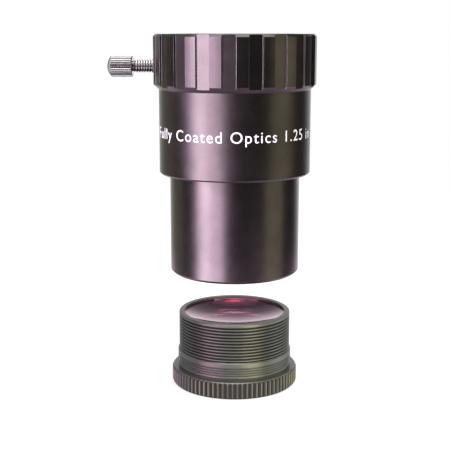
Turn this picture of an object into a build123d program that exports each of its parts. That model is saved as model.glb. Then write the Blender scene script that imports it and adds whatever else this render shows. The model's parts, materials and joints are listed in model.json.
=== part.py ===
"""Barlow lens for 1.25 inch telescope eyepieces, in millimetres.

The optical axis is Z and +Z points to the eyepiece. The origin is on the axis, in the plane of the shoulder
where the body meets the nosepiece. The lens cell is unscrewed and hangs clear below the nosepiece, on the
same axis. Screw threads are rings of the real pitch, with running clearance to their mates.
"""

import os
from math import sqrt

from build123d import *

# ---- tube ---------------------------------------------------------------------------------------------
NOSE_R = 31.75 / 2  # 1.25 inch barrel
NOSE_LENGTH = 24.6
SOCKET_R = 31.8 / 2  # takes a 1.25 inch eyepiece barrel
BODY_R = 18.4
BODY_LENGTH = 20.3
HEAD_R = 19.7
HEAD_LENGTH = 13.1
HEAD_TOP = BODY_LENGTH + HEAD_LENGTH

BODY_FLOOR = 4.0  # the ledge that stops an eyepiece barrel
BODY_CHAMFER = 0.4
JOINT_R = 14.95  # M30 joint between the body and the nosepiece
NOSE_BORE_R = 14.3
NOSE_SPIGOT = BODY_FLOOR - 0.2
NOSE_CHAMFER = 0.6
MOUTH_CHAMFER = 0.3

# ---- M28.5 x 0.6, the common filter thread ------------------------------------------------------------
FILTER_R = 28.5 / 2
FILTER_PITCH = 0.6
FILTER_DEPTH = 0.3
NOSE_TURNS = 7
FLANGE_TURNS = 3

# ---- clamp head ---------------------------------------------------------------------------------------
FLUTES = 20
FLUTE_DEPTH = 0.55
FLUTE_WIDTH = 3.4
FLUTE_FLOOR_WIDTH = 3.1
HEAD_CHAMFER = 0.6
HEAD_CONE = HEAD_R - BODY_R
SOCKET_CHAMFER = 0.5
SCREW_Z = HEAD_TOP - 7.7
POCKET_R = 17.2  # the pocket that holds the compression ring
POCKET_HEIGHT = 5.0
SPIGOT_R = 17.5  # M35 joint between the head and the body
SPIGOT_TOP = SCREW_Z - POCKET_HEIGHT / 2
POCKET_TOP = SCREW_Z + POCKET_HEIGHT / 2

BAND_INNER_R = 16.05
BAND_OUTER_R = 16.9
BAND_HEIGHT = 4.6
BAND_SPLIT = 2.5

BAFFLE_Z = -5.0
BAFFLE_INNER_R = 11.5
BAFFLE_THICKNESS = 1.6
BAFFLE_EDGE = 0.2
BAFFLE_RIM = 1.2

# ---- thumbscrew, No. 5-40 -----------------------------------------------------------------------------
STUD_R = 3.175 / 2
STUD_PITCH = 0.635
STUD_DEPTH = 0.34
STUD_ROOT_R = STUD_R - STUD_DEPTH
SHAFT_CLEARANCE = 0.05
STUD_SHOWN = 5.1  # bare thread between the head and the knob
STUD_TIP_X = -17.75
STUD_TIP_CHAMFER = 0.4
KNOB_X = -HEAD_R - STUD_SHOWN  # the knob's inner face
KNOB_R = 2.58
KNOB_LENGTH = 5.2
KNOB_DOME = 1.1
KNOB_EDGE = 0.25
KNOB_TEETH = 26
KNOB_TOOTH_DEPTH = 0.26
KNOB_SOCKET = 3.6  # how far the stud goes into the knob

# ---- lens cell, heights measured from the flange's upper face -----------------------------------------
CELL_GAP = 10.5  # nosepiece rim to the top of the unscrewed cell
CELL_REACH = 14.0  # flange to the top of the barrel
CELL_Z = -NOSE_LENGTH - CELL_GAP - CELL_REACH
BARREL_R = 13.95
RIM_CHAMFER = 0.2
GROOVE_TOP = CELL_REACH - 0.7
GROOVE_PITCH = 0.77
GROOVE_DEPTH = 0.4
GROOVES = 12
BARREL_STEP = 4.5  # where the barrel widens to the filter thread
BARREL_THREAD_TOP = 3.25
BARREL_TURNS = 4
SHOULDER_CHAMFER = 0.3
UNDERCUT_R = 13.9
UNDERCUT_HEIGHT = 0.3
TAIL_R = 13.6
TAIL_LENGTH = 1.5

FLANGE_R = 15.75
FLANGE_HEIGHT = 4.2
FLANGE_CHAMFER = 0.45
KNURL_TEETH = 80
KNURL_DEPTH = 0.35
KNURL_CUTTER_R = 0.62

# ---- lenses: an air-spaced pair, the upper one concave on both faces ----------------------------------
LENS_R = 12.95
CELL_BORE_R = 13.0
LIP_R = 12.6
LIP_THICKNESS = 0.6
LENS_CLEARANCE = 0.05
UPPER_TOP_RADIUS = 38.0
UPPER_BOTTOM_RADIUS = 60.0
UPPER_CENTRE = 1.8
LOWER_TOP_RADIUS = 58.0
LOWER_CENTRE = 2.6
SPACER_WIDTH = 0.7
SPACER_EDGE = 0.3
WASHER_THICKNESS = 0.6
RETAINER_R = 13.1
RETAINER_INNER_R = 11.9
RETAINER_HEIGHT = 2.2
SPANNER_SLOT_WIDTH = 1.6
SPANNER_SLOT_DEPTH = 0.9


def sag(radius, r):
    """Depth of a spherical surface of this radius at a distance r from the axis."""
    return radius - sqrt(radius**2 - r**2)


def rings(crest, root, top, pitch, turns):
    """Outline points (r, z) of rings going down from top: one V with a flat floor in each pitch."""
    flat = pitch / 8
    flank = (pitch - 3 * flat) / 2
    points = []
    for turn in range(turns):
        z = top - turn * pitch
        points += [(crest, z), (root, z - flank), (root, z - flank - flat), (crest, z - 2 * flank - flat)]
    return points


def in_cell(points):
    """Outline points (r, z) measured from the flange's upper face, moved to where the flange is."""
    return [(r, z + CELL_Z) for r, z in points]


lens_seat = CELL_REACH - LIP_THICKNESS
upper_rim = lens_seat - LENS_CLEARANCE
upper_top = upper_rim - sag(UPPER_TOP_RADIUS, LENS_R)
upper_bottom = upper_top - UPPER_CENTRE
upper_foot = upper_bottom - sag(UPPER_BOTTOM_RADIUS, LENS_R)
lower_rim = upper_foot - SPACER_EDGE
lower_top = lower_rim + sag(LOWER_TOP_RADIUS, LENS_R)
lower_bottom = lower_top - LOWER_CENTRE
washer_top = lower_bottom - LENS_CLEARANCE
washer_bottom = washer_top - WASHER_THICKNESS
retainer_bottom = washer_bottom - RETAINER_HEIGHT

os.makedirs("parts", exist_ok=True)

# ---- nosepiece: plain 1.25 inch barrel with the filter thread inside its mouth ------------------------
nose_rim = -NOSE_LENGTH
nose_crest_r = FILTER_R + SHAFT_CLEARANCE
nose_thread_top = nose_rim + MOUTH_CHAMFER + (NOSE_TURNS + 0.5) * FILTER_PITCH
with BuildPart() as nosepiece:
    with BuildSketch(Plane.XZ):
        with BuildLine():
            Polyline(
                (JOINT_R, NOSE_SPIGOT),
                (NOSE_BORE_R, NOSE_SPIGOT),
                *rings(nose_crest_r, nose_crest_r + FILTER_DEPTH, nose_thread_top, FILTER_PITCH, NOSE_TURNS),
                (NOSE_BORE_R, nose_rim + MOUTH_CHAMFER),
                (NOSE_BORE_R + MOUTH_CHAMFER, nose_rim),
                (NOSE_R - NOSE_CHAMFER, nose_rim),
                (NOSE_R, nose_rim + NOSE_CHAMFER),
                (NOSE_R, 0),
                (JOINT_R, 0),
                close=True,
            )
        make_face()
    revolve(axis=Axis.Z)
nosepiece.part.label = "nosepiece"
export_step(nosepiece.part, "parts/nosepiece.step")

# ---- body tube: the shoulder, the ledge, the eyepiece bore and the spigot that carries the head -------
with BuildPart() as body_tube:
    with BuildSketch(Plane.XZ):
        with BuildLine():
            Polyline(
                (JOINT_R, 0),
                (BODY_R - BODY_CHAMFER, 0),
                (BODY_R, BODY_CHAMFER),
                (BODY_R, BODY_LENGTH),
                (SPIGOT_R, BODY_LENGTH),
                (SPIGOT_R, SPIGOT_TOP),
                (SOCKET_R, SPIGOT_TOP),
                (SOCKET_R, BODY_FLOOR),
                (JOINT_R, BODY_FLOOR),
                close=True,
            )
        make_face()
    revolve(axis=Axis.Z)
body_tube.part.label = "body_tube"
export_step(body_tube.part, "parts/body_tube.step")

# ---- clamp head: fluted grip with a pocket for the compression ring and a tapped hole -----------------
flute_floor = HEAD_R - FLUTE_DEPTH
flute_clear = HEAD_R + FLUTE_DEPTH
with BuildPart() as clamp_head:
    with BuildSketch(Plane.XZ):
        with BuildLine():
            Polyline(
                (SPIGOT_R, BODY_LENGTH),
                (BODY_R, BODY_LENGTH),
                (HEAD_R, BODY_LENGTH + HEAD_CONE),
                (HEAD_R, HEAD_TOP - HEAD_CHAMFER),
                (HEAD_R - HEAD_CHAMFER, HEAD_TOP),
                (SOCKET_R + SOCKET_CHAMFER, HEAD_TOP),
                (SOCKET_R, HEAD_TOP - SOCKET_CHAMFER),
                (SOCKET_R, POCKET_TOP),
                (POCKET_R, POCKET_TOP),
                (POCKET_R, SPIGOT_TOP),
                (SPIGOT_R, SPIGOT_TOP),
                close=True,
            )
        make_face()
    revolve(axis=Axis.Z)
    with BuildSketch(Plane.XY.offset(BODY_LENGTH)):
        with PolarLocations(0, FLUTES):
            Polygon(
                (flute_floor, -FLUTE_FLOOR_WIDTH / 2),
                (flute_clear, -FLUTE_WIDTH + FLUTE_FLOOR_WIDTH / 2),
                (flute_clear, FLUTE_WIDTH - FLUTE_FLOOR_WIDTH / 2),
                (flute_floor, FLUTE_FLOOR_WIDTH / 2),
                align=None,
            )
    extrude(amount=HEAD_LENGTH, mode=Mode.SUBTRACT)
    with BuildSketch(Plane.YZ.offset(-HEAD_R)):
        with Locations((0, SCREW_Z)):
            Circle(STUD_R + SHAFT_CLEARANCE)
    extrude(amount=HEAD_R - SOCKET_R, mode=Mode.SUBTRACT)
clamp_head.part.label = "clamp_head"
export_step(clamp_head.part, "parts/clamp_head.step")

# ---- compression ring: split brass band that the thumbscrew presses on the eyepiece barrel ------------
with BuildPart() as compression_ring:
    with BuildSketch(Plane.XY.offset(SCREW_Z - BAND_HEIGHT / 2)):
        Circle(BAND_OUTER_R)
        Circle(BAND_INNER_R, mode=Mode.SUBTRACT)
        with Locations((BAND_OUTER_R, 0)):
            Rectangle(BAND_OUTER_R, BAND_SPLIT, mode=Mode.SUBTRACT)
    extrude(amount=BAND_HEIGHT)
compression_ring.part.label = "compression_ring"
export_step(compression_ring.part, "parts/compression_ring.step")

# ---- glare baffle: knife-edged ring pressed into the nosepiece ----------------------------------------
with BuildPart() as glare_baffle:
    with BuildSketch(Plane.XZ):
        with BuildLine():
            Polyline(
                (BAFFLE_INNER_R, BAFFLE_Z),
                (NOSE_BORE_R, BAFFLE_Z),
                (NOSE_BORE_R, BAFFLE_Z + BAFFLE_THICKNESS),
                (NOSE_BORE_R - BAFFLE_RIM, BAFFLE_Z + BAFFLE_THICKNESS),
                (BAFFLE_INNER_R, BAFFLE_Z + BAFFLE_EDGE),
                close=True,
            )
        make_face()
    revolve(axis=Axis.Z)
glare_baffle.part.label = "glare_baffle"
export_step(glare_baffle.part, "parts/glare_baffle.step")

# ---- thumbscrew: drawn along its own axis, which runs along X at the height of the tapped hole --------
screw_plane = Plane(origin=(0, 0, SCREW_Z), x_dir=(1, 0, 0), z_dir=(0, -1, 0))
screw_axis = Axis((0, 0, SCREW_Z), (1, 0, 0))
stud_inner_end = KNOB_X - KNOB_SOCKET
stud_thread_end = STUD_TIP_X - STUD_TIP_CHAMFER
stud_turns = int((stud_thread_end - KNOB_X) / STUD_PITCH)
with BuildPart() as thumbscrew_stud:
    with BuildSketch(screw_plane):
        with BuildLine():
            Polyline(
                (stud_inner_end, 0),
                (STUD_TIP_X, 0),
                (STUD_TIP_X, STUD_R - STUD_TIP_CHAMFER),
                *[(x, r) for r, x in rings(STUD_R, STUD_ROOT_R, stud_thread_end, STUD_PITCH, stud_turns)],
                (stud_thread_end - stud_turns * STUD_PITCH, STUD_ROOT_R),
                (stud_inner_end, STUD_ROOT_R),
                close=True,
            )
        make_face()
    revolve(axis=screw_axis)
thumbscrew_stud.part.label = "thumbscrew_stud"
export_step(thumbscrew_stud.part, "parts/thumbscrew_stud.step")

# ---- thumbscrew knob: straight-knurled cap with a domed end -------------------------------------------
knob_socket_r = STUD_ROOT_R + SHAFT_CLEARANCE
knob_socket_end = stud_inner_end - SHAFT_CLEARANCE
knob_end = KNOB_X - KNOB_LENGTH
with BuildPart() as thumbscrew_knob:
    with BuildSketch(screw_plane):
        with BuildLine():
            Polyline(
                (knob_end - KNOB_DOME, 0),
                (knob_socket_end, 0),
                (knob_socket_end, knob_socket_r),
                (KNOB_X, knob_socket_r),
                (KNOB_X, KNOB_R - KNOB_EDGE),
                (KNOB_X - KNOB_EDGE, KNOB_R),
                (knob_end, KNOB_R),
            )
            ThreePointArc(
                (knob_end, KNOB_R),
                (knob_end - KNOB_DOME * 0.8, KNOB_R * 0.5),
                (knob_end - KNOB_DOME, 0),
            )
        make_face()
    revolve(axis=screw_axis)
    with BuildSketch(Plane(origin=(knob_end, 0, SCREW_Z), z_dir=(1, 0, 0))):
        with PolarLocations(KNOB_R, KNOB_TEETH):
            Rectangle(KNOB_TOOTH_DEPTH * sqrt(2), KNOB_TOOTH_DEPTH * sqrt(2), rotation=45)
    extrude(amount=KNOB_LENGTH, mode=Mode.SUBTRACT)
thumbscrew_knob.part.label = "thumbscrew_knob"
export_step(thumbscrew_knob.part, "parts/thumbscrew_knob.step")

# ---- lens barrel: grooved sleeve with the filter thread at its foot and a lip at its top --------------
barrel_thread = rings(FILTER_R, FILTER_R - FILTER_DEPTH, BARREL_THREAD_TOP, FILTER_PITCH, BARREL_TURNS)
with BuildPart() as lens_barrel:
    with BuildSketch(Plane.XZ):
        with BuildLine():
            Polyline(
                *in_cell(
                    [
                        (LIP_R, lens_seat),
                        (LIP_R, CELL_REACH),
                        (BARREL_R - RIM_CHAMFER, CELL_REACH),
                        (BARREL_R, CELL_REACH - RIM_CHAMFER),
                        *rings(BARREL_R, BARREL_R - GROOVE_DEPTH, GROOVE_TOP, GROOVE_PITCH, GROOVES),
                        (BARREL_R, BARREL_STEP),
                        (FILTER_R, BARREL_STEP - (FILTER_R - BARREL_R)),
                        *barrel_thread,
                        (FILTER_R, UNDERCUT_HEIGHT + SHOULDER_CHAMFER),
                        (FILTER_R - SHOULDER_CHAMFER, UNDERCUT_HEIGHT),
                        (UNDERCUT_R, UNDERCUT_HEIGHT),
                        (UNDERCUT_R, 0),
                        (TAIL_R, 0),
                        (TAIL_R, -TAIL_LENGTH),
                        (RETAINER_R, -TAIL_LENGTH),
                        (RETAINER_R, washer_bottom),
                        (CELL_BORE_R, washer_bottom),
                        (CELL_BORE_R, lens_seat),
                    ]
                ),
                close=True,
            )
        make_face()
    revolve(axis=Axis.Z)
lens_barrel.part.label = "lens_barrel"
export_step(lens_barrel.part, "parts/lens_barrel.step")

# ---- knurled flange: grip ring on the barrel's tail, with a filter thread underneath ------------------
flange_thread_top = -FLANGE_HEIGHT + MOUTH_CHAMFER + (FLANGE_TURNS + 0.25) * FILTER_PITCH
flange_thread = rings(FILTER_R, FILTER_R + FILTER_DEPTH, flange_thread_top, FILTER_PITCH, FLANGE_TURNS)
with BuildPart() as knurled_flange:
    with BuildSketch(Plane.XZ):
        with BuildLine():
            Polyline(
                *in_cell(
                    [
                        (TAIL_R, 0),
                        (TAIL_R, -TAIL_LENGTH),
                        (FILTER_R, -TAIL_LENGTH),
                        *flange_thread,
                        (FILTER_R, -FLANGE_HEIGHT + MOUTH_CHAMFER),
                        (FILTER_R + MOUTH_CHAMFER, -FLANGE_HEIGHT),
                        (FLANGE_R - FLANGE_CHAMFER, -FLANGE_HEIGHT),
                        (FLANGE_R, -FLANGE_HEIGHT + FLANGE_CHAMFER),
                        (FLANGE_R, -FLANGE_CHAMFER),
                        (FLANGE_R - FLANGE_CHAMFER, 0),
                    ]
                ),
                close=True,
            )
        make_face()
    revolve(axis=Axis.Z)
    with BuildSketch(Plane.XY.offset(CELL_Z - FLANGE_HEIGHT)):
        with PolarLocations(FLANGE_R - KNURL_DEPTH + KNURL_CUTTER_R, KNURL_TEETH):
            Circle(KNURL_CUTTER_R)
    extrude(amount=FLANGE_HEIGHT, mode=Mode.SUBTRACT)
knurled_flange.part.label = "knurled_flange"
export_step(knurled_flange.part, "parts/knurled_flange.step")

# ---- front lens: concave on both faces, just under the barrel's lip -----------------------------------
with BuildPart() as front_lens:
    with BuildSketch(Plane.XZ):
        with BuildLine():
            Line((0, CELL_Z + upper_bottom), (0, CELL_Z + upper_top))
            RadiusArc((0, CELL_Z + upper_top), (LENS_R, CELL_Z + upper_rim), -UPPER_TOP_RADIUS)
            Line((LENS_R, CELL_Z + upper_rim), (LENS_R, CELL_Z + upper_foot))
            RadiusArc((LENS_R, CELL_Z + upper_foot), (0, CELL_Z + upper_bottom), -UPPER_BOTTOM_RADIUS)
        make_face()
    revolve(axis=Axis.Z)
front_lens.part.label = "front_lens"
export_step(front_lens.part, "parts/front_lens.step")

# ---- lens spacer: thin ring that sets the air gap between the two lenses ------------------------------
spacer_r = LENS_R - SPACER_WIDTH
spacer_top = upper_foot + sag(UPPER_BOTTOM_RADIUS, LENS_R) - sag(UPPER_BOTTOM_RADIUS, spacer_r)
spacer_bottom = lower_rim + sag(LOWER_TOP_RADIUS, LENS_R) - sag(LOWER_TOP_RADIUS, spacer_r)
with BuildPart() as lens_spacer:
    with BuildSketch(Plane.XZ):
        with BuildLine():
            Line((LENS_R, CELL_Z + upper_foot), (LENS_R, CELL_Z + lower_rim))
            RadiusArc((LENS_R, CELL_Z + lower_rim), (spacer_r, CELL_Z + spacer_bottom), -LOWER_TOP_RADIUS)
            Line((spacer_r, CELL_Z + spacer_bottom), (spacer_r, CELL_Z + spacer_top))
            RadiusArc((spacer_r, CELL_Z + spacer_top), (LENS_R, CELL_Z + upper_foot), UPPER_BOTTOM_RADIUS)
        make_face()
    revolve(axis=Axis.Z)
lens_spacer.part.label = "lens_spacer"
export_step(lens_spacer.part, "parts/lens_spacer.step")

# ---- rear lens: convex above and flat below -----------------------------------------------------------
with BuildPart() as rear_lens:
    with BuildSketch(Plane.XZ):
        with BuildLine():
            RadiusArc((0, CELL_Z + lower_top), (LENS_R, CELL_Z + lower_rim), LOWER_TOP_RADIUS)
            Polyline(
                (LENS_R, CELL_Z + lower_rim),
                (LENS_R, CELL_Z + lower_bottom),
                (0, CELL_Z + lower_bottom),
                (0, CELL_Z + lower_top),
            )
        make_face()
    revolve(axis=Axis.Z)
rear_lens.part.label = "rear_lens"
export_step(rear_lens.part, "parts/rear_lens.step")

# ---- pressure washer and retaining ring, which hold the lenses from below -----------------------------
with BuildPart() as pressure_washer:
    with BuildSketch(Plane.XY.offset(CELL_Z + washer_bottom)):
        Circle(CELL_BORE_R)
        Circle(RETAINER_INNER_R, mode=Mode.SUBTRACT)
    extrude(amount=WASHER_THICKNESS)
pressure_washer.part.label = "pressure_washer"
export_step(pressure_washer.part, "parts/pressure_washer.step")

with BuildPart() as retaining_ring:
    with BuildSketch(Plane.XY.offset(CELL_Z + retainer_bottom)):
        Circle(RETAINER_R)
        Circle(RETAINER_INNER_R, mode=Mode.SUBTRACT)
    extrude(amount=RETAINER_HEIGHT)
    with BuildSketch(Plane.XY.offset(CELL_Z + retainer_bottom)):
        Rectangle(2 * RETAINER_R, SPANNER_SLOT_WIDTH)
    extrude(amount=SPANNER_SLOT_DEPTH, mode=Mode.SUBTRACT)
retaining_ring.part.label = "retaining_ring"
export_step(retaining_ring.part, "parts/retaining_ring.step")
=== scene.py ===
"""Barlow lens: materials, lettering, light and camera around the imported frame. Metres; the axis is Z."""

import json
from math import ceil, cos, pi, radians, sin

import bmesh
import bpy
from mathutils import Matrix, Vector

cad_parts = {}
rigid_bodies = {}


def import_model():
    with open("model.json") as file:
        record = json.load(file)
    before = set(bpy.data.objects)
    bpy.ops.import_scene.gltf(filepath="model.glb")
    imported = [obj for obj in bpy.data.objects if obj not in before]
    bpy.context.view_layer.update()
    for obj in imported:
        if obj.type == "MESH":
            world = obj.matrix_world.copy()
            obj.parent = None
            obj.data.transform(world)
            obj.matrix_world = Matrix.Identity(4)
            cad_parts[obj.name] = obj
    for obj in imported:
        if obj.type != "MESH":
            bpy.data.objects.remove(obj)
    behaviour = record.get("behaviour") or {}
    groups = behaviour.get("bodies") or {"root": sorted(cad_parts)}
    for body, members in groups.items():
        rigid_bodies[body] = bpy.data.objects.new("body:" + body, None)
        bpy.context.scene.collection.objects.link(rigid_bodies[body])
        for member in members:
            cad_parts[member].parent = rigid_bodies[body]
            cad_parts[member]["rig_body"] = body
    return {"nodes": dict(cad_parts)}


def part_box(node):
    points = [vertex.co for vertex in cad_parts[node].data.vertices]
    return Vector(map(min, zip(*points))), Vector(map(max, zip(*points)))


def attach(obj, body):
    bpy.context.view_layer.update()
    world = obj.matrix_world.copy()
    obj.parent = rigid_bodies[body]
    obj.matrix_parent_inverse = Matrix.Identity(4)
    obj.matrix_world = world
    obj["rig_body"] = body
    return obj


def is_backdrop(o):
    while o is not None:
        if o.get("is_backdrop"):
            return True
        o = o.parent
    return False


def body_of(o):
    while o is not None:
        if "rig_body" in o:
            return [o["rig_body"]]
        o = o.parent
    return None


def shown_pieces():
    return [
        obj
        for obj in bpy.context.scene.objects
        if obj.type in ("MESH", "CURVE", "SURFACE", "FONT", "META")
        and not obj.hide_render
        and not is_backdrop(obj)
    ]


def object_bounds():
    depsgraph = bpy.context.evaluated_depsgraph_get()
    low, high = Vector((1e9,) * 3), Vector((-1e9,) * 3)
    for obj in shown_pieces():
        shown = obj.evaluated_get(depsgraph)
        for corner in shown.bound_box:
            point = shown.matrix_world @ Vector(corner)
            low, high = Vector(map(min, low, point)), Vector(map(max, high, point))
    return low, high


MM = 0.001

# ---- camera: level with the head's top, a little to the right of the front ----------------------------
CAMERA_DISTANCE = 0.24
CAMERA_AZIMUTH = radians(3.9)
CAMERA_PITCH = radians(11.25)
CAMERA_PAN = radians(0.57)
CAMERA_LENS = 78.6
CAMERA_RISE = 1 * MM

# ---- lettering: white paint round the body ------------------------------------------------------------
LETTERING = "Fully Coated Optics 1.25 in"
LETTER_SIZE = 3.7 * MM
LETTER_WEIGHT = 0.005 * MM
LETTER_SPACING = 1.16
LETTER_CENTRE = 10.2 * MM
LETTER_AZIMUTH = radians(2)
PAINT_THICKNESS = 0.03 * MM
SLICE = 0.25 * MM

# ---- surroundings -------------------------------------------------------------------------------------
GLOW_START = 0.72  # how far a reflection must point to the back before the glow there begins
GLOW_TOP = 0.5  # the upward slope at which the glow is weakest
GLOW_WEAKEST = 0.35
GLOW_STRONGEST = 1.9
AMBIENT = 0.08
FLOOR_RADIUS = 300 * MM
FLOOR_WHITE = 0.93
FLOOR_ROUGHNESS = 0.7
FLOOR_EMISSION = 0.62

# ---- finishes -----------------------------------------------------------------------------------------
EDGE_RADIUS = 0.07 * MM
SMALL_EDGE_RADIUS = 0.04 * MM
EDGE_SAMPLES = 6
# Edges turn paler between these, from wear and a painted edge highlight.
WEAR_AND_HIGHLIGHT_STARTS = 0.99  # cosine of the angle between the rounded and the flat normal
WEAR_AND_HIGHLIGHT_ENDS = 0.9
PALE_GRAIN = 1.35  # how much paler the bright specks of the grain are
ROOT_PAINTED_SHADE = 0.2  # how much painted shade darkens the roots of grooves, beside the surface
# Paler edge colours: partly wear to bare metal, partly a painted edge highlight.
WORN_AND_HIGHLIT_ALUMINIUM = (0.43, 0.48, 0.40)
WORN_AND_HIGHLIT_CELL = (0.34, 0.35, 0.32)
# Root and crest radii of the barrel's grooves; painted shade darkens their roots.
BARREL_GROOVES = (13.6 * MM, 13.93 * MM)
SCREW_HEIGHT = 25.7 * MM
# Root and crest distances from the screw's axis in its thread and between the knob's teeth; painted shade
# darkens their roots.
THREAD_PAINTED_SHADE = (1.28 * MM, 1.52 * MM)
TOOTH_PAINTED_SHADE = (2.36 * MM, 2.52 * MM)
# Root and crest radii of the flange's knurl; painted shade darkens their roots.
KNURL_GROOVES = (15.42 * MM, 15.72 * MM)
GROOVED_BELOW_RIM = 0.6 * MM
KNURLED_BELOW_TOP = 0.2 * MM
BODY_TONE = ((0.088, 0.080, 0.080), (0.125, 0.113, 0.113))
CELL_TONE = ((0.19, 0.20, 0.192), (0.24, 0.252, 0.242))

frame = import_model()
cad_low, cad_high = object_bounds()
nodes = frame["nodes"]


# ---- camera, light and floor --------------------------------------------------------------------------
def make_camera():
    """The camera stands in front of the tube and looks down at it."""
    camera = bpy.data.objects.new("camera", bpy.data.cameras.new("camera"))
    bpy.context.scene.collection.objects.link(camera)
    camera.data.lens = CAMERA_LENS
    camera.data.clip_start = 0.01
    camera.location = (
        CAMERA_DISTANCE * sin(CAMERA_AZIMUTH),
        -CAMERA_DISTANCE * cos(CAMERA_AZIMUTH),
        cad_high.z + CAMERA_RISE,
    )
    camera.rotation_euler = (pi / 2 - CAMERA_PITCH, 0, CAMERA_AZIMUTH + CAMERA_PAN)
    bpy.context.scene.camera = camera


def softbox(name, azimuth, height, distance, size, colour, radiance, tilt=0.0, lit=None, reflected=True):
    """A lamp that faces the axis. Azimuth is in degrees from the front, and to the right is positive.
    lit is the collection that it lights, where that isn't everything."""
    width, length = size
    data = bpy.data.lights.new(name, "AREA")
    data.shape = "RECTANGLE"
    data.size = width
    data.size_y = length
    data.color = colour
    data.energy = radiance * pi * width * length
    lamp = bpy.data.objects.new(name, data)
    bpy.context.scene.collection.objects.link(lamp)
    turn = radians(azimuth)
    lamp.location = (distance * sin(turn), -distance * cos(turn), height)
    lamp.rotation_euler = (pi / 2 + radians(tilt), 0, turn)
    lamp.visible_camera = False
    lamp.visible_glossy = reflected
    if lit is not None:
        lamp.light_linking.receiver_collection = lit


def group(name, *bodies):
    """A collection of the pieces on these bodies, for a lamp to light."""
    collection = bpy.data.collections.new(name)
    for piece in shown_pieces():
        if body_of(piece)[0] in bodies:
            collection.objects.link(piece)
    return collection


def make_lights():
    """The tube, the thumbscrew and the cell have lamps of their own. The tube and the cell have a lavender
    or pink key on the left, an olive strip on the right and weaker lamps that their flanks mirror. The top
    light and the fill, which nothing shiny mirrors, light everything."""
    tube = group("lit_tube", "tube", "clamp_band")
    softbox("tube_key", -40, 0.0, 0.36, (0.33, 0.70), (1.0, 0.76, 0.98), 4.9, lit=tube)
    softbox("tube_core", -47, 0.0, 0.35, (0.11, 0.70), (1.0, 0.92, 1.0), 3.4, lit=tube)
    softbox("tube_right", 77, 0.0, 0.36, (0.24, 0.70), (1.0, 0.93, 0.62), 0.66, lit=tube)
    softbox("tube_far_left", -120, 0.0, 0.36, (0.30, 0.70), (1.0, 0.97, 0.72), 0.3, lit=tube)
    bounce_height = cad_low.z + MM
    softbox("tube_bounce", 0, bounce_height, 0.0, (0.20, 0.20), (1.0, 0.70, 0.95), 0.8, tilt=90, lit=tube)
    screw = group("lit_screw", "screw_stud", "screw_knob")
    softbox("screw_key", -40, 0.20, 0.36, (0.34, 0.44), (1.0, 0.94, 0.97), 1.2, tilt=-30, lit=screw)
    softbox("screw_end", -100, -0.02, 0.36, (0.36, 0.50), (1.0, 0.96, 1.0), 0.9, lit=screw)
    softbox("screw_low", -20, -0.20, 0.36, (0.34, 0.26), (1.0, 0.94, 0.97), 1.0, tilt=30, lit=screw)
    cell = group("lit_cell", "lens_stack", "lens_cell")
    softbox("cell_key", -44, -0.05, 0.36, (0.28, 0.60), (1.0, 0.46, 0.76), 1.5, lit=cell)
    softbox("cell_right", 40, -0.05, 0.36, (0.22, 0.60), (1.0, 0.84, 0.34), 1.7, lit=cell)
    softbox("cell_front", 0, -0.05, 0.42, (1.4, 0.60), (0.96, 1.0, 0.98), 0.52, lit=cell)
    barrel = group("lit_barrel", "lens_cell")
    softbox("cell_far_left", -115, -0.05, 0.36, (0.30, 0.60), (0.96, 1.0, 1.0), 0.3, lit=barrel)
    softbox("cell_far_right", 105, -0.05, 0.36, (0.36, 0.60), (1.0, 1.0, 0.94), 0.7, lit=barrel)
    glow_height = cad_low.z + 0.2 * MM
    glow_size = (16 * MM, 8 * MM)
    softbox("table_glow", 0, glow_height, 4 * MM, glow_size, (1.0, 0.92, 0.84), 4.0, tilt=90, lit=cell)
    softbox("lens_glint", 184, 0.05, 0.062, (0.06, 0.030), (1.0, 0.16, 0.08), 3.0, tilt=-55, lit=cell)
    softbox("top_light", 0, 0.42, 0.02, (0.42, 0.42), (1.0, 1.0, 1.0), 2.6, tilt=-90)
    softbox("fill_light", 30, 0.10, 0.7, (0.9, 0.9), (1.0, 1.0, 1.0), 1.6, reflected=False)


def make_world():
    """White to the camera. In reflections it is dim, with a bright glow behind the object."""
    world = bpy.data.worlds.new("studio")
    bpy.context.scene.world = world
    world.use_nodes = True
    tree = world.node_tree
    tree.nodes.clear()
    output = tree.nodes.new("ShaderNodeOutputWorld")
    seen = tree.nodes.new("ShaderNodeBackground")
    seen.inputs["Color"].default_value = (1, 1, 1, 1)
    reflected = tree.nodes.new("ShaderNodeBackground")
    direction = tree.nodes.new("ShaderNodeTexCoord")
    split = tree.nodes.new("ShaderNodeSeparateXYZ")
    tree.links.new(direction.outputs["Generated"], split.inputs[0])
    glow = tree.nodes.new("ShaderNodeMapRange")
    glow.inputs["From Min"].default_value = GLOW_START
    glow.inputs["From Max"].default_value = 1.0
    tree.links.new(split.outputs["Y"], glow.inputs["Value"])
    low = tree.nodes.new("ShaderNodeMapRange")
    low.inputs["From Min"].default_value = GLOW_TOP
    low.inputs["From Max"].default_value = 0.0
    low.inputs["To Min"].default_value = GLOW_WEAKEST
    low.inputs["To Max"].default_value = GLOW_STRONGEST
    tree.links.new(split.outputs["Z"], low.inputs["Value"])
    sky = tree.nodes.new("ShaderNodeMath")
    sky.operation = "MULTIPLY_ADD"
    tree.links.new(glow.outputs["Result"], sky.inputs[0])
    tree.links.new(low.outputs["Result"], sky.inputs[1])
    sky.inputs[2].default_value = AMBIENT
    tree.links.new(sky.outputs[0], reflected.inputs["Strength"])
    choose = tree.nodes.new("ShaderNodeMixShader")
    path = tree.nodes.new("ShaderNodeLightPath")
    tree.links.new(path.outputs["Is Camera Ray"], choose.inputs["Fac"])
    tree.links.new(reflected.outputs[0], choose.inputs[1])
    tree.links.new(seen.outputs[0], choose.inputs[2])
    tree.links.new(choose.outputs[0], output.inputs["Surface"])


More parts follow.
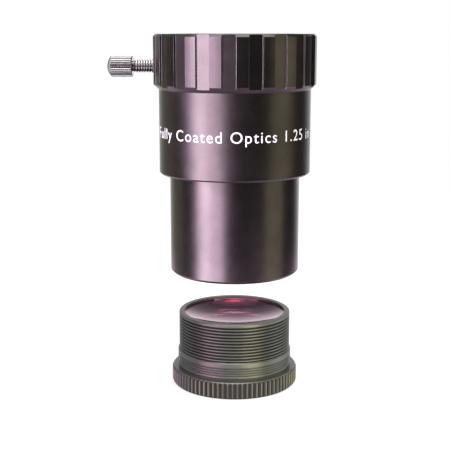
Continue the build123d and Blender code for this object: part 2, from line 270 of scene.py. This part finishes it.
def make_floor():
    """A round pale table top under the lens cell, clear from below so that the underside can be seen."""
    mesh = bpy.data.meshes.new("floor")
    shape = bmesh.new()
    bmesh.ops.create_circle(shape, cap_ends=True, segments=96, radius=FLOOR_RADIUS)
    bmesh.ops.translate(shape, verts=shape.verts, vec=(0, 0, cad_low.z))
    shape.to_mesh(mesh)
    shape.free()
    floor = bpy.data.objects.new("floor", mesh)
    bpy.context.scene.collection.objects.link(floor)
    material = bpy.data.materials.new("floor")
    material.use_nodes = True
    shader = material.node_tree.nodes["Principled BSDF"]
    shader.inputs["Base Color"].default_value = (FLOOR_WHITE, FLOOR_WHITE, FLOOR_WHITE, 1)
    shader.inputs["Roughness"].default_value = FLOOR_ROUGHNESS
    shader.inputs["Emission Color"].default_value = (1, 1, 1, 1)
    shader.inputs["Emission Strength"].default_value = FLOOR_EMISSION
    clear = material.node_tree.nodes.new("ShaderNodeBsdfTransparent")
    side = material.node_tree.nodes.new("ShaderNodeNewGeometry")
    choose = material.node_tree.nodes.new("ShaderNodeMixShader")
    output = material.node_tree.nodes["Material Output"]
    material.node_tree.links.new(side.outputs["Backfacing"], choose.inputs["Fac"])
    material.node_tree.links.new(shader.outputs[0], choose.inputs[1])
    material.node_tree.links.new(clear.outputs[0], choose.inputs[2])
    material.node_tree.links.new(choose.outputs[0], output.inputs["Surface"])
    mesh.materials.append(material)
    floor.visible_glossy = False
    floor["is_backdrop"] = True


# ---- material nodes -----------------------------------------------------------------------------------
class Paint:
    """One procedural material, and short calls that add its nodes."""

    def __init__(self, name):
        self.material = bpy.data.materials.new(name)
        self.material.use_nodes = True
        self.tree = self.material.node_tree
        self.shader = self.tree.nodes["Principled BSDF"]
        self.place = self.tree.nodes.new("ShaderNodeTexCoord").outputs["Object"]

    def node(self, kind, **inputs):
        """A node of this kind with these inputs, each a value or another node's output."""
        node = self.tree.nodes.new(kind)
        for name, value in inputs.items():
            socket = node.inputs[name.replace("_", " ")]
            if isinstance(value, bpy.types.NodeSocket):
                self.tree.links.new(value, socket)
            else:
                socket.default_value = value
        return node

    def stretched(self, scale, shift=(0, 0, 0)):
        """Object coordinates times a scale for each axis, plus a shift in metres."""
        mapping = self.node("ShaderNodeMapping", Vector=self.place, Scale=scale, Location=shift)
        return mapping.outputs["Vector"]

    def length(self, vector):
        """How long a vector is."""
        measure = self.tree.nodes.new("ShaderNodeVectorMath")
        measure.operation = "LENGTH"
        self.tree.links.new(vector, measure.inputs[0])
        return measure.outputs["Value"]

    def noise(self, grain, detail=2.0, place=None):
        """Noise with features of this size, in metres."""
        where = self.place if place is None else place
        return self.node("ShaderNodeTexNoise", Vector=where, Scale=1 / grain, Detail=detail).outputs["Fac"]

    def between(self, value, low, high, from_low=0.3, from_high=0.7):
        """The value's range from_low to from_high spread over low to high."""
        spread = self.node("ShaderNodeMapRange", Value=value, From_Min=from_low, From_Max=from_high,
                           To_Min=low, To_Max=high)
        return spread.outputs["Result"]

    def blend(self, amount, first, second):
        """A colour between two others."""
        mix = self.tree.nodes.new("ShaderNodeMix")
        mix.data_type = "RGBA"
        self.tree.links.new(amount, mix.inputs["Factor"])
        for socket, colour in ((mix.inputs[6], first), (mix.inputs[7], second)):
            if isinstance(colour, bpy.types.NodeSocket):
                self.tree.links.new(colour, socket)
            else:
                socket.default_value = (*colour, 1)
        return mix.outputs[2]

    def grooves(self, root, crest, top):
        """0 at the roots of grooves round the axis, 1 at their crests and everywhere above this height."""
        out = self.between(self.length(self.stretched((1, 1, 0))), 0.0, 1.0, root, crest)
        height = self.node("ShaderNodeSeparateXYZ", Vector=self.place).outputs["Z"]
        above = self.between(height, 0.0, 1.0, top - 0.1 * MM, top)
        either = self.node("ShaderNodeMath")
        either.operation = "MAXIMUM"
        self.tree.links.new(out, either.inputs[0])
        self.tree.links.new(above, either.inputs[1])
        return either.outputs[0]

    def bump(self, height, distance, normal=None):
        """A normal that a height pattern of this depth, in metres, disturbs."""
        inputs = {"Height": height, "Distance": distance, "Strength": 1.0}
        if normal is not None:
            inputs["Normal"] = normal
        return self.node("ShaderNodeBump", **inputs).outputs["Normal"]

    def rounded(self, radius):
        """A normal that rounds sharp edges by this radius."""
        bevel = self.tree.nodes.new("ShaderNodeBevel")
        bevel.samples = EDGE_SAMPLES
        bevel.inputs["Radius"].default_value = radius
        return bevel.outputs["Normal"]

    def edges(self, rounded):
        """How near a sharp edge a point is, from 0 to 1, as the rounded normal leaves the face's own."""
        own = self.tree.nodes.new("ShaderNodeNewGeometry").outputs["Normal"]
        turn = self.tree.nodes.new("ShaderNodeVectorMath")
        turn.operation = "DOT_PRODUCT"
        self.tree.links.new(rounded, turn.inputs[0])
        self.tree.links.new(own, turn.inputs[1])
        return self.between(turn.outputs["Value"], 0.0, 1.0, WEAR_AND_HIGHLIGHT_STARTS, WEAR_AND_HIGHLIGHT_ENDS)

    def set(self, **inputs):
        """Sets or links the shader's own inputs."""
        for name, value in inputs.items():
            socket = self.shader.inputs[name.replace("_", " ")]
            if isinstance(value, bpy.types.NodeSocket):
                self.tree.links.new(value, socket)
            else:
                socket.default_value = value


def anodised(name, tone, roughness, grain, depth, turned=0.0, wear_and_highlight_tone=WORN_AND_HIGHLIT_ALUMINIUM, metallic=1.0,
             grooves=None):
    """Black anodised aluminium: blasted grain of this size and depth, cloudy tone, edges paler from wear
    and a painted edge highlight, and optional turned rings and grooves whose roots are darkened with
    painted shade."""
    dark, light = tone
    paint = Paint(name)
    speck = paint.noise(grain, 2.0)
    cloud = paint.noise(6 * MM, 3.0)
    clouded = paint.blend(paint.between(cloud, 0.0, 1.0), dark, light)
    pale = [PALE_GRAIN * value for value in light]
    grained = paint.blend(paint.between(speck, 0.0, 0.5, 0.5, 0.75), clouded, pale)
    if grooves:
        # Painted shade: the roots of the grooves are darkened towards black.
        root_painted_shade_tone = [ROOT_PAINTED_SHADE * value for value in dark]
        grained = paint.blend(paint.grooves(*grooves), root_painted_shade_tone, grained)
    rounded = paint.rounded(EDGE_RADIUS)
    # Paler edges: partly wear, partly a painted edge highlight where the rounded normal turns from the
    # face's own.
    wear_and_highlight_patches = paint.between(paint.noise(0.8 * MM, 3.0), 0.2, 1.0)
    wear_and_highlight = paint.node("ShaderNodeMath", **{"Value": paint.edges(rounded)})
    wear_and_highlight.operation = "MULTIPLY"
    paint.tree.links.new(wear_and_highlight_patches, wear_and_highlight.inputs[1])
    paint.set(
        Base_Color=paint.blend(wear_and_highlight.outputs[0], grained, wear_and_highlight_tone),
        Metallic=metallic,
        Roughness=paint.between(paint.noise(1.5 * MM, 4.0), roughness - 0.015, roughness + 0.015),
    )
    normal = paint.bump(speck, depth, rounded)
    if turned:
        rings = paint.noise(1.0, 1.0, paint.stretched((60, 60, 5200)))
        normal = paint.bump(rings, turned, normal)
    paint.set(Normal=normal)
    return paint.material


def plated(name, root, crest):
    """Bright plating with fine scratches, slight clouding and painted shade in the thread or between the
    teeth.
    """
    paint = Paint(name)
    cloud = paint.noise(1.2 * MM, 4.0)
    scratch = paint.noise(1.0, 2.0, paint.stretched((900, 9000, 9000)))
    clean = paint.blend(paint.between(cloud, 0.0, 1.0), (0.74, 0.72, 0.74), (0.88, 0.87, 0.88))
    from_axis = paint.length(paint.stretched((0, 1, 1), (0, 0, -SCREW_HEIGHT)))
    raised = paint.between(from_axis, 0.0, 1.0, root, crest)
    paint.set(
        # Painted shade: a darker, purplish colour at the roots of the thread and between the teeth.
        Base_Color=paint.blend(raised, (0.36, 0.31, 0.35), clean),
        Metallic=1.0,
        Roughness=paint.between(scratch, 0.14, 0.26),
        Normal=paint.bump(scratch, 0.002 * MM, paint.rounded(SMALL_EDGE_RADIUS)),
    )
    return paint.material


def brass(name):
    """Plain rolled brass, a little tarnished."""
    paint = Paint(name)
    stain = paint.noise(2.5 * MM, 5.0)
    roll = paint.noise(1.0, 2.0, paint.stretched((300, 300, 7000)))
    paint.set(
        Base_Color=paint.blend(paint.between(stain, 0.0, 1.0), (0.50, 0.33, 0.12), (0.80, 0.61, 0.30)),
        Metallic=1.0,
        Roughness=paint.between(roll, 0.24, 0.38),
        Normal=paint.bump(roll, 0.002 * MM, paint.rounded(SMALL_EDGE_RADIUS)),
    )
    return paint.material


def matt(name, dark, light, roughness, grain, depth):
    """Unshiny black: a stray light coating or moulded plastic."""
    paint = Paint(name)
    speck = paint.noise(grain, 3.0)
    paint.set(
        Base_Color=paint.blend(paint.between(speck, 0.0, 1.0), dark, light),
        Roughness=paint.between(paint.noise(2 * MM), roughness - 0.05, roughness + 0.05),
        Normal=paint.bump(speck, depth, paint.rounded(SMALL_EDGE_RADIUS)),
    )
    return paint.material


def coated_glass(name, dark, light, coating):
    """Clear lens whose anti-reflection coating mirrors this tint, more or less strongly."""
    paint = Paint(name)
    smear = paint.noise(4 * MM, 3.0)
    paint.set(
        Base_Color=paint.blend(paint.between(smear, 0.0, 1.0), dark, light),
        Metallic=coating,
        Roughness=paint.between(smear, 0.03, 0.07),
        IOR=1.6,
        Transmission_Weight=1.0,
    )
    return paint.material


def white_paint(name):
    """Screen-printed white ink."""
    paint = Paint(name)
    speck = paint.noise(0.12 * MM, 2.0)
    paint.set(
        Base_Color=paint.blend(paint.between(speck, 0.0, 1.0), (0.80, 0.79, 0.80), (0.92, 0.91, 0.92)),
        Roughness=paint.between(speck, 0.45, 0.6),
        Normal=paint.bump(speck, 0.004 * MM),
    )
    return paint.material


def finish_nodes():
    """Gives every CAD node its material."""
    tops = {name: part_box(name)[1].z - nodes[name].matrix_world.translation.z for name in nodes}
    # Groove radii and the height they stop at, for the painted shade in their roots.
    barrel_grooves = (*BARREL_GROOVES, tops["lens_barrel"] - GROOVED_BELOW_RIM)
    flange_grooves = (*KNURL_GROOVES, tops["knurled_flange"] - KNURLED_BELOW_TOP)
    cell = {"wear_and_highlight_tone": WORN_AND_HIGHLIT_CELL, "metallic": 0.75}
    black = (0.015, 0.015, 0.015)
    finishes = {
        "clamp_head": anodised("head_anodised", BODY_TONE, 0.30, 0.16 * MM, 0.006 * MM),
        "body_tube": anodised("body_anodised", BODY_TONE, 0.34, 0.16 * MM, 0.007 * MM),
        "nosepiece": anodised("nose_anodised", BODY_TONE, 0.30, 0.15 * MM, 0.004 * MM, 0.002 * MM),
        "glare_baffle": matt(
            "flat_black", (0.008, 0.008, 0.008), (0.016, 0.016, 0.016), 0.85, 0.1 * MM, 0.02 * MM
        ),
        "compression_ring": brass("band_brass"),
        "thumbscrew_stud": plated("stud_plated", *THREAD_PAINTED_SHADE),
        "thumbscrew_knob": plated("knob_plated", *TOOTH_PAINTED_SHADE),
        "lens_barrel": anodised(
            "barrel_anodised", CELL_TONE, 0.36, 0.14 * MM, 0.003 * MM, 0.002 * MM,
            grooves=barrel_grooves, **cell,
        ),
        "knurled_flange": anodised(
            "flange_anodised", CELL_TONE, 0.32, 0.14 * MM, 0.003 * MM, grooves=flange_grooves, **cell
        ),
        "retaining_ring": anodised("retainer_anodised", CELL_TONE, 0.32, 0.14 * MM, 0.003 * MM, **cell),
        "front_lens": coated_glass("front_glass", (0.95, 0.60, 0.79), (1.0, 0.68, 0.86), 0.5),
        "rear_lens": coated_glass("rear_glass", (0.93, 0.84, 0.90), (0.97, 0.90, 0.95), 0.06),
        "lens_spacer": matt("spacer_plastic", black, (0.028, 0.028, 0.028), 0.5, 0.2 * MM, 0.01 * MM),
        "pressure_washer": matt("washer_plastic", black, (0.03, 0.03, 0.03), 0.5, 0.2 * MM, 0.01 * MM),
    }
    for name, material in finishes.items():
        mesh = nodes[name].data
        mesh.materials.clear()
        mesh.materials.append(material)


# ---- lettering ----------------------------------------------------------------------------------------
def make_lettering():
    """A generic line of white paint letters, sliced upright and wrapped round the body."""
    line = bpy.data.curves.new("lettering", "FONT")
    line.body = LETTERING
    line.offset = LETTER_WEIGHT / LETTER_SIZE
    line.space_character = LETTER_SPACING
    line.align_x = "CENTER"
    line.align_y = "CENTER"
    line.extrude = PAINT_THICKNESS / 2 / LETTER_SIZE
    line.resolution_u = 6
    flat = bpy.data.objects.new("flat_lettering", line)
    bpy.context.scene.collection.objects.link(flat)
    mesh = bpy.data.meshes.new_from_object(flat)
    bpy.data.objects.remove(flat)
    shape = bmesh.new()
    shape.from_mesh(mesh)
    bmesh.ops.remove_doubles(shape, verts=shape.verts, dist=0.0003)
    bmesh.ops.triangulate(shape, faces=shape.faces)
    bmesh.ops.scale(shape, verts=shape.verts, vec=(LETTER_SIZE, LETTER_SIZE, LETTER_SIZE))
    reach = max(vert.co.x for vert in shape.verts)
    for step in range(-ceil(reach / SLICE), ceil(reach / SLICE) + 1):
        everything = [*shape.verts, *shape.edges, *shape.faces]
        bmesh.ops.bisect_plane(shape, geom=everything, plane_co=(step * SLICE, 0, 0), plane_no=(1, 0, 0))
    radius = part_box("body_tube")[1].x + PAINT_THICKNESS / 2
    for vert in shape.verts:
        turn = LETTER_AZIMUTH + vert.co.x / radius
        out = radius + vert.co.z
        vert.co = Vector((out * sin(turn), -out * cos(turn), LETTER_CENTRE + vert.co.y))
    bmesh.ops.recalc_face_normals(shape, faces=shape.faces)
    shape.to_mesh(mesh)
    shape.free()
    mesh.name = "lettering"
    mesh.materials.clear()
    mesh.materials.append(white_paint("lettering_paint"))
    piece = bpy.data.objects.new("lettering", mesh)
    bpy.context.scene.collection.objects.link(piece)
    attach(piece, "tube")


bpy.context.scene.view_settings.view_transform = "Standard"
make_camera()
make_world()
make_floor()
finish_nodes()
make_lettering()
make_lights()
